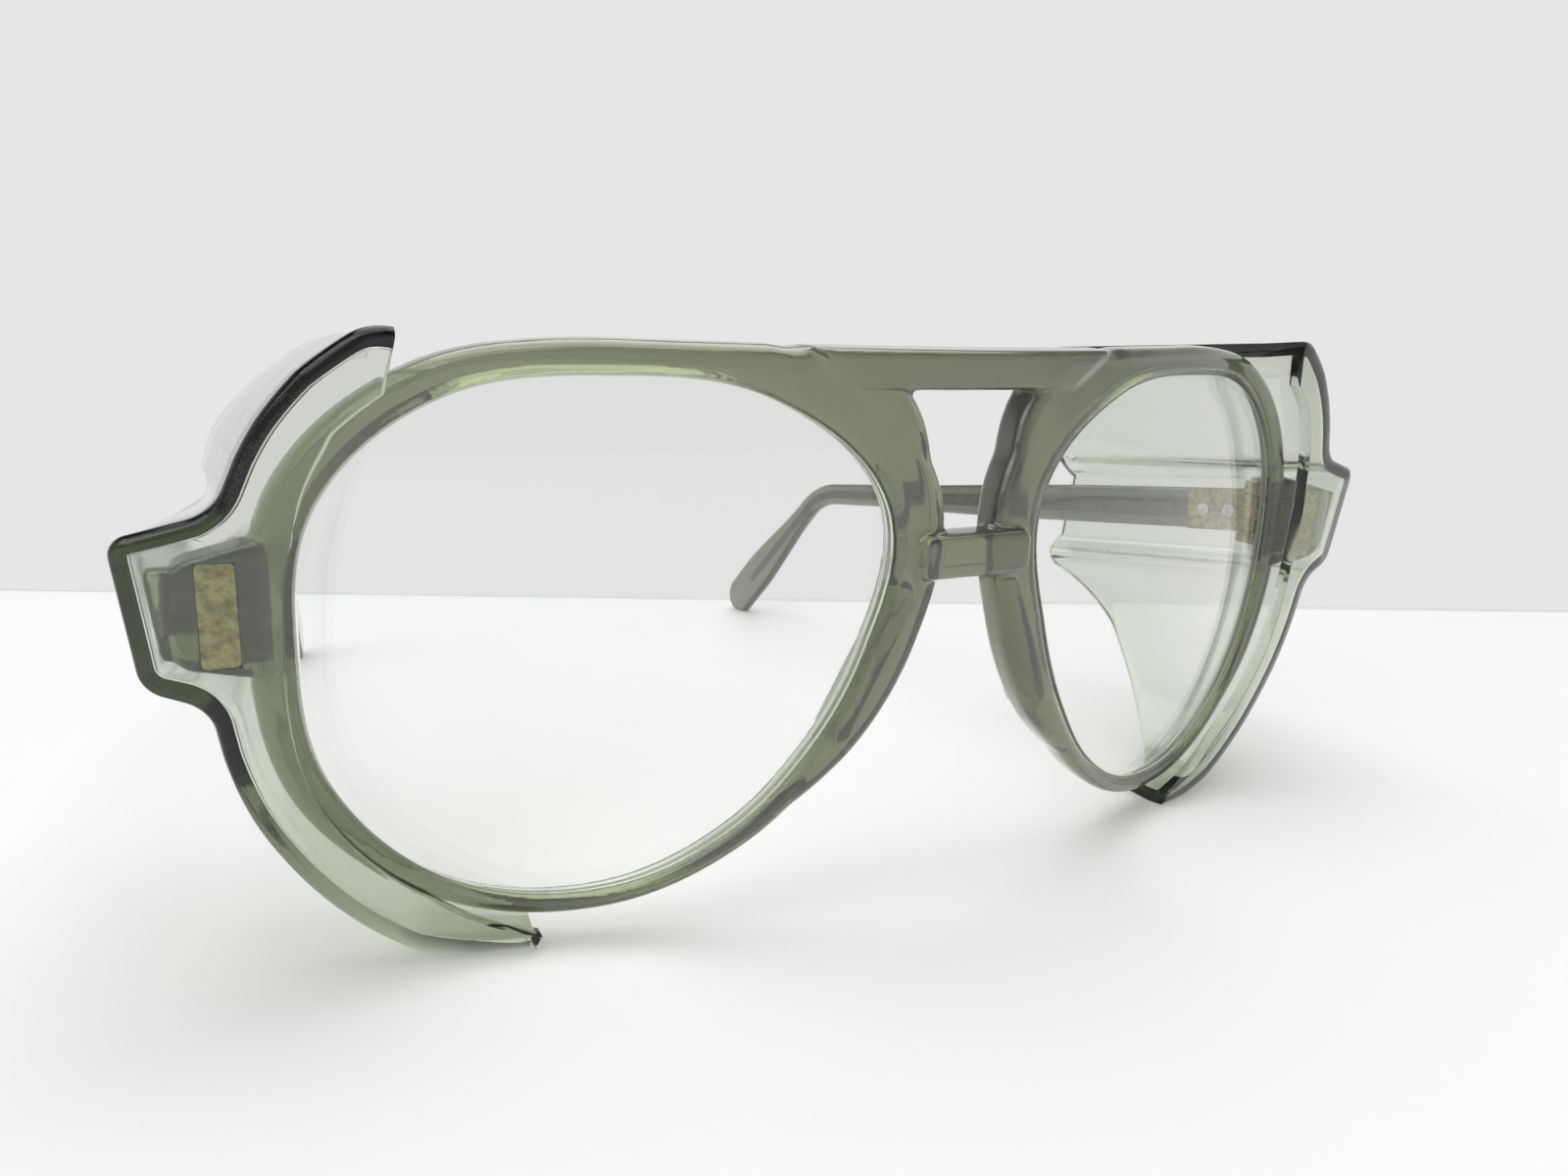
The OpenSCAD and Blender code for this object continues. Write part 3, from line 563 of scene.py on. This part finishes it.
def shield_rings():
    """Section by section along the corner line: lap, rounded corner and wall, out and back."""
    corner_steps, wall_steps, past_corner = 6, 10, 0.7
    line = shield_outline()
    rings = []
    for i, p in enumerate(line):
        ahead, behind = line[min(i + 1, len(line) - 1)], line[max(i - 1, 0)]
        t = (ahead - behind).normalized()
        n = Vector((t.y, -t.x))
        a = math.degrees(math.atan2(p.y, p.x - lens_x))
        q, back, y0 = lap_edge(a), wall_end(a), lap_face(p)
        inwards = math.tan(math.radians(toe_at(a)))
        downwards = math.tan(math.radians(slant)) * slant_share(a)
        leaning = Vector((-inwards, -downwards))
        outer, inner = [], []
        for share in (0, 0.06, 0.25, 0.5, 0.75, 1):
            v = q + (p + n * shield_round - q) * share
            outer.append((v.x, lap_face(v), v.y))
            v = q + (p + n * (shield_t + inner_round) - q) * share
            inner.append((v.x, lap_face(v) + shield_t, v.y))
        for k in range(1, corner_steps + 1):
            turn = math.pi / 2 * k / corner_steps
            v = p + n * shield_round * (1 - math.sin(turn))
            outer.append((v.x, y0 + shield_round * (1 - math.cos(turn)), v.y))
            v = p + n * (shield_t + inner_round * (1 - math.sin(turn)))
            inner.append((v.x, y0 + shield_t + inner_round * (1 - math.cos(turn)), v.y))
        for k in range(1, wall_steps + 1):
            y = mix(y0 + shield_round + past_corner, back, k / wall_steps)
            v = p + leaning * (y - y0)
            outer.append((v.x, y, v.y))
            v = p + n * shield_t + leaning * (y - y0)
            inner.append((v.x, y, v.y))
        rings.append(outer + inner[::-1])
    return rings


def shield_bm():
    tiny = 0.004
    bm = loft(shield_rings(), folded=True)
    eased(bm, sharper_than(bm, 1.0), 0.2, 3, clamp_overlap=True)
    bmesh.ops.remove_doubles(bm, verts=bm.verts, dist=tiny)
    bmesh.ops.dissolve_degenerate(bm, dist=tiny, edges=bm.edges)
    return bm


pale = clear_plastic("pale_plastic", (0.48, 0.53, 0.37), 105, 0.06, (0.84, 0.86, 0.8), 0.9,
                     bump=0.0, cloudy=(0.84, 0.87, 0.81))
for side, name in sides:
    shield = as_piece(shield_bm(), f"shield_{name}", side=side, foot=True)
    shield.data.materials.append(pale)
    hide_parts(f"side_shield_{name}")
    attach(shield, "front_frame")


# ---- Gold plates, rivets and hinges ----
# Rolled-gold plate let into each endpiece, held by two rivets through to the hinge leaf; leaves
# and knuckles are plain brass, worn darker than the plate; rivets and screws are nickel.
def worn_metal(name, bright, tarnished, rough, speck):
    """Metal that has kept its shine in places and is tarnished and duller between them."""
    mat = bpy.data.materials.new(name)
    mat.use_nodes = True
    nodes, links = mat.node_tree.nodes, mat.node_tree.links
    skin = nodes["Principled BSDF"]
    skin.inputs["Metallic"].default_value = 1
    coords = nodes.new("ShaderNodeTexCoord")
    spots = nodes.new("ShaderNodeTexNoise")
    spots.inputs["Scale"].default_value = speck
    spots.inputs["Detail"].default_value = 6
    spots.inputs["Roughness"].default_value = 0.7
    shade = nodes.new("ShaderNodeValToRGB")
    shade.color_ramp.elements[0].position = 0.36
    shade.color_ramp.elements[0].color = (*tarnished, 1)
    shade.color_ramp.elements[1].position = 0.6
    shade.color_ramp.elements[1].color = (*bright, 1)
    dull = nodes.new("ShaderNodeMapRange")
    dull.inputs["From Min"].default_value = 0.3
    dull.inputs["From Max"].default_value = 0.7
    dull.inputs["To Min"].default_value = rough + 0.25
    dull.inputs["To Max"].default_value = rough
    raised = nodes.new("ShaderNodeBump")
    raised.inputs["Strength"].default_value = 0.25
    raised.inputs["Distance"].default_value = 0.0001
    links.new(coords.outputs["Object"], spots.inputs["Vector"])
    links.new(spots.outputs["Fac"], shade.inputs["Fac"])
    links.new(shade.outputs["Color"], skin.inputs["Base Color"])
    links.new(spots.outputs["Fac"], dull.inputs["Value"])
    links.new(dull.outputs["Result"], skin.inputs["Roughness"])
    links.new(spots.outputs["Fac"], raised.inputs["Height"])
    links.new(raised.outputs["Normal"], skin.inputs["Normal"])
    return mat


gilt = worn_metal("gilt_brass", (0.54, 0.47, 0.25), (0.28, 0.24, 0.13), 0.3, 1100)
old_brass = worn_metal("hinge_brass", (0.40, 0.34, 0.21), (0.20, 0.16, 0.09), 0.35, 1100)
nickel = worn_metal("nickel", (0.62, 0.60, 0.55), (0.36, 0.34, 0.30), 0.25, 900)


def plate():
    plate_in, plate_out, plate_half, plate_t = 5.6, 2.2, 5, 0.8
    outline = oblong(end_x - plate_in, end_x - plate_out, end_z - plate_half, end_z + plate_half)
    return block(outline, end_y, end_y + plate_t, 0.6, 0.15)


metals = {"front_hinge": old_brass, "temple_hinge": old_brass, "anchor_rivets": nickel,
          "temple_rivets": nickel, "hinge_screw": nickel}
for side, name in sides:
    gold = as_piece(plate(), f"gold_plate_{name}", side=side, smooth=False)
    gold.data.materials.append(gilt)
    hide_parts(f"anchor_plate_{name}")
    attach(gold, "front_frame")
    for part, metal in metals.items():
        made = frame["nodes"][f"{part}_{name}"]
        if not made.material_slots:
            made.data.materials.append(metal)
        for slot in made.material_slots:
            slot.material = metal


# ---- The temples ----
# Drawn smoke plastic over a flat metal core that shows as a dark strip; the ear end is bent down
# hot and swells into a paddle.
straight, drop, bend_angle, bend_r = 103.0, 41.0, 38.0, 16.0
temple_h, waist_h, paddle_h, temple_t, tip_t = 6.4, 4.5, 8.8, 3.8, 2.4
inner_x, leaf_t, butt_gap, toe_in = 2.25, 1, 0.35, 8
temple_edge, ring_gap = 1.1, 1.5
bend_len = bend_r * math.radians(bend_angle)
full = straight + bend_len + drop
paddle_at = full - 0.3 * drop
on_temple = (Matrix.Translation(pivot_f) @ Matrix.Rotation(math.radians(-slant), 4, "X")
             @ Matrix.Rotation(math.radians(toe_in), 4, "Z"))


def along(s):
    """Place on the temple's middle line and how far it has turned down."""
    if s <= straight:
        return s, 0.0, 0.0
    turn = min(math.radians(bend_angle), (s - straight) / bend_r)
    rest = max(0.0, s - straight - bend_len)
    return (straight + bend_r * math.sin(turn) + rest * math.cos(turn),
            -bend_r * (1 - math.cos(turn)) - rest * math.sin(turn), turn)


def ease(t):
    t = clamp(t)
    return t * t * (3 - 2 * t)


def temple_height(s):
    if s < straight:
        return mix(temple_h, waist_h, ease((s - 0.35 * straight) / (0.65 * straight)))
    past_bend = s - straight - bend_len
    return mix(waist_h, paddle_h, ease(past_bend / (paddle_at - straight - bend_len)))


def temple_thick(s):
    return mix(temple_t, tip_t, ease(s / full))


def strip_ring(s, x, h, t, r, mitre=0.0, n=6):
    """A rounded oblong round the temple's middle line, h high and t thick; mitre is the share
    by which it is turned back to stand square to the front's back."""
    y, z, turn = along(s)
    down, inwards = math.tan(math.radians(slant)), math.tan(math.radians(toe_in))
    e = min(r, 0.45 * t, 0.45 * h)
    ring = []
    for sx, sz, a0 in ((1, 1, 0), (-1, 1, 90), (-1, -1, 180), (1, -1, 270)):
        for i in range(n + 1):
            a = math.radians(a0 + 90 * i / n)
            px = x + t / 2 + sx * (t / 2 - e) + e * math.cos(a)
            pz = sz * (h / 2 - e) + e * math.sin(a)
            cut = mitre * (-pz * down - px * inwards)
            ring.append((px, y + pz * math.sin(turn) + cut, z + pz * math.cos(turn)))
    return ring


def temple_bm():
    butt = leaf_t + butt_gap - pivot_back
    # The butt end is cut parallel to the front and its edges are eased
    rings = [strip_ring(butt, inner_x + 0.3, temple_h - 0.9, temple_t - 0.6, 0.8, 1),
             strip_ring(butt + 0.12, inner_x + 0.08, temple_h - 0.25, temple_t - 0.16, 1, 1),
             strip_ring(butt + 0.4, inner_x, temple_h, temple_t, temple_edge, 1)]
    rings += [strip_ring(butt + 0.4 + k, inner_x, temple_h, temple_t, temple_edge, 1 - k / 4)
              for k in (1, 2, 3)]
    for i in range(int((full - 8.5) / ring_gap)):
        s = 4 + ring_gap * i
        rings.append(strip_ring(s, inner_x, temple_height(s), temple_thick(s), temple_edge))
    # The paddle's end is rounded off and thinned
    r, end_steps = paddle_h / 2, 15
    for k in range(end_steps):
        left = r * (1 - math.sin(math.pi / 2 * k / end_steps))
        s = full - left
        round_off = math.sqrt(max(0.0, 1 - (1 - left / r) ** 2))
        h = max(0.3, temple_height(s) * round_off)
        t = temple_thick(s) * min(1.0, 0.35 + 1.6 * round_off)
        rings.append(strip_ring(s, inner_x + (temple_thick(s) - t) / 2, h, t, temple_edge))
    return loft(rings)


def core_bm():
    core_t, core_tip_t, core_h, core_tip_h, core_edge = 1.2, 0.9, 3.2, 1.6, 0.4
    rings = []
    for i in range(int((full - 10) / ring_gap)):
        s = 1 + ring_gap * i
        k = clamp(s / (full - 9))
        t, h = mix(core_t, core_tip_t, k), mix(core_h, core_tip_h, ease(k * 1.3))
        middle = inner_x + temple_thick(s) / 2 - t / 2
        rings.append(strip_ring(s, middle, h, t, core_edge, n=3))
    return loft(rings)


smoke_brown = clear_plastic("temple_plastic", (0.46, 0.46, 0.36), 760, 0.12, (0.5, 0.5, 0.44), 0.85,
                            cloud=0.08, cloudy=(0.62, 0.61, 0.53))
old_wire = worn_metal("core_metal", (0.20, 0.17, 0.13), (0.10, 0.085, 0.065), 0.45, 700)
for side, name in sides:
    for bm, piece, node, mat, slot in (
            (temple_bm(), "temple_arm", "temple", smoke_brown, "temple_plastic"),
            (core_bm(), "temple_wire", "temple_core", old_wire, "core_metal")):
        arm = as_piece(bm, f"{piece}_{name}", place=stand @ to_side(side) @ on_temple, foot=True)
        arm.data.materials.append(mat)
        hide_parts(f"{node}_{name}")
        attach(arm, f"{name}_temple")


# ---- Table, light and camera ----
# A white table that ends before a white backdrop, under soft lamps; its far edge carries a faint
# grey-green line of painted shade, standing in for the shade where table and backdrop meet.
seam_place, seam_turn = (0.067, 0.088, 0), math.radians(-32)
table_half = 4
to_seam = (Matrix.Translation(seam_place) @ Matrix.Rotation(seam_turn, 4, "Z")
           @ Matrix.Translation((0, -table_half, 0)))
table_mesh = bpy.data.meshes.new("table_top")
bm = bmesh.new()
bmesh.ops.create_grid(bm, x_segments=1, y_segments=1, size=table_half)
bmesh.ops.transform(bm, verts=bm.verts, matrix=to_seam)
bm.to_mesh(table_mesh)
bm.free()
table_top = bpy.data.objects.new("table_top", table_mesh)
bpy.context.collection.objects.link(table_top)
white = bpy.data.materials.new("table_white")
white.use_nodes = True
nodes, links = white.node_tree.nodes, white.node_tree.links
skin = nodes["Principled BSDF"]
skin.inputs["Roughness"].default_value = 0.5
skin.inputs["Specular IOR Level"].default_value = 0.1
coords = nodes.new("ShaderNodeTexCoord")
turned = nodes.new("ShaderNodeMapping")
turned.vector_type = "TEXTURE"
turned.inputs["Location"].default_value = seam_place
turned.inputs["Rotation"].default_value = (0, 0, seam_turn)
parts = nodes.new("ShaderNodeSeparateXYZ")
# Painted shade: over its last 20 mm the table's colour darkens, mostly in the last 4 mm, to
# grey-green at the far edge where it meets the backdrop
seam_shade = nodes.new("ShaderNodeValToRGB")
seam_shade_range = nodes.new("ShaderNodeMapRange")
seam_shade_range.inputs["From Min"].default_value = -0.02
seam_shade_range.inputs["From Max"].default_value = 0
ramp = seam_shade.color_ramp
ramp.elements[0].position = 0.0
ramp.elements[0].color = (0.88, 0.88, 0.88, 1)
ramp.elements[1].position = 1.0
ramp.elements[1].color = (0.55, 0.59, 0.54, 1)
seam_shade_start = ramp.elements.new(0.82)
seam_shade_start.color = (0.86, 0.865, 0.86, 1)
links.new(coords.outputs["Object"], turned.inputs["Vector"])
links.new(turned.outputs["Vector"], parts.inputs["Vector"])
links.new(parts.outputs["Y"], seam_shade_range.inputs["Value"])
links.new(seam_shade_range.outputs["Result"], seam_shade.inputs["Fac"])
links.new(seam_shade.outputs["Color"], skin.inputs["Base Color"])
table_mesh.materials.append(white)

world = bpy.data.worlds.new("room")
bpy.context.scene.world = world
world.use_nodes = True
nodes, links = world.node_tree.nodes, world.node_tree.links
nodes.clear()
out = nodes.new("ShaderNodeOutputWorld")
room = nodes.new("ShaderNodeBackground")
coords = nodes.new("ShaderNodeTexCoord")
parts = nodes.new("ShaderNodeSeparateXYZ")
height = nodes.new("ShaderNodeValToRGB")
ramp = height.color_ramp
ramp.elements[0].position = 0.32
ramp.elements[0].color = (0.79, 0.79, 0.793, 1)
ramp.elements[1].position = 0.62
ramp.elements[1].color = (0.13, 0.13, 0.135, 1)
# The backdrop is white, and the room on the other side is dim
facing = nodes.new("ShaderNodeVectorMath")
facing.operation = "DOT_PRODUCT"
facing.inputs[1].default_value = (0.468, 0.884, 0)
depth = nodes.new("ShaderNodeMapRange")
depth.inputs["From Min"].default_value = -0.75
depth.inputs["From Max"].default_value = 0.15
depth.inputs["To Min"].default_value = 0.6
depth.inputs["To Max"].default_value = 1
links.new(coords.outputs["Generated"], parts.inputs["Vector"])
links.new(coords.outputs["Generated"], facing.inputs[0])
links.new(parts.outputs["Z"], height.inputs["Fac"])
links.new(facing.outputs["Value"], depth.inputs["Value"])
links.new(height.outputs["Color"], room.inputs["Color"])
links.new(depth.outputs["Result"], room.inputs["Strength"])
links.new(room.outputs[0], out.inputs["Surface"])


def soft_lamp(name, place, size, watts):
    """A large lamp that is turned to the middle of the pair and isn't seen itself."""
    aim = Vector((0, 0, 0.03))
    lamp = bpy.data.lights.new(name, "AREA")
    lamp.shape = "RECTANGLE"
    lamp.size, lamp.size_y, lamp.energy = size[0], size[1], watts
    obj = bpy.data.objects.new(name, lamp)
    obj.location = place
    obj.rotation_euler = (aim - Vector(place)).to_track_quat("-Z", "Y").to_euler()
    obj.visible_camera = False
    bpy.context.collection.objects.link(obj)


def room_light(name, tilt, turn, strength, spread):
    """Light of the whole room from one side, even over the table."""
    lamp = bpy.data.lights.new(name, "SUN")
    lamp.energy = strength
    lamp.angle = math.radians(spread)
    obj = bpy.data.objects.new(name, lamp)
    obj.rotation_euler = (math.radians(tilt), 0, math.radians(turn))
    obj.location = (0, 0, 0.5)
    bpy.context.collection.objects.link(obj)


room_light("light_above", 12, 150, 1.7, 70)
room_light("light_left", 38, -60, 0.7, 50)
soft_lamp("lamp_above", (0.1, 0.25, 0.9), (0.9, 0.6), 1.5)
soft_lamp("lamp_left", (-0.7, -0.4, 0.5), (0.5, 0.5), 1.0)

# The photo's own angle, in degrees down from level and round from the pair's depth
camera_down, camera_round = 10.47, -27.89
camera_data = bpy.data.cameras.new("camera")
camera_data.lens = 26.9
camera_data.sensor_width = 36
camera_data.clip_start = 0.005
camera = bpy.data.objects.new("camera", camera_data)
camera.location = (-0.07477, -0.18164, 0.05951)
camera.rotation_euler = (math.radians(90 - camera_down), 0, math.radians(camera_round))
bpy.context.collection.objects.link(camera)
bpy.context.scene.camera = camera
bpy.context.scene.view_settings.view_transform = "Standard"
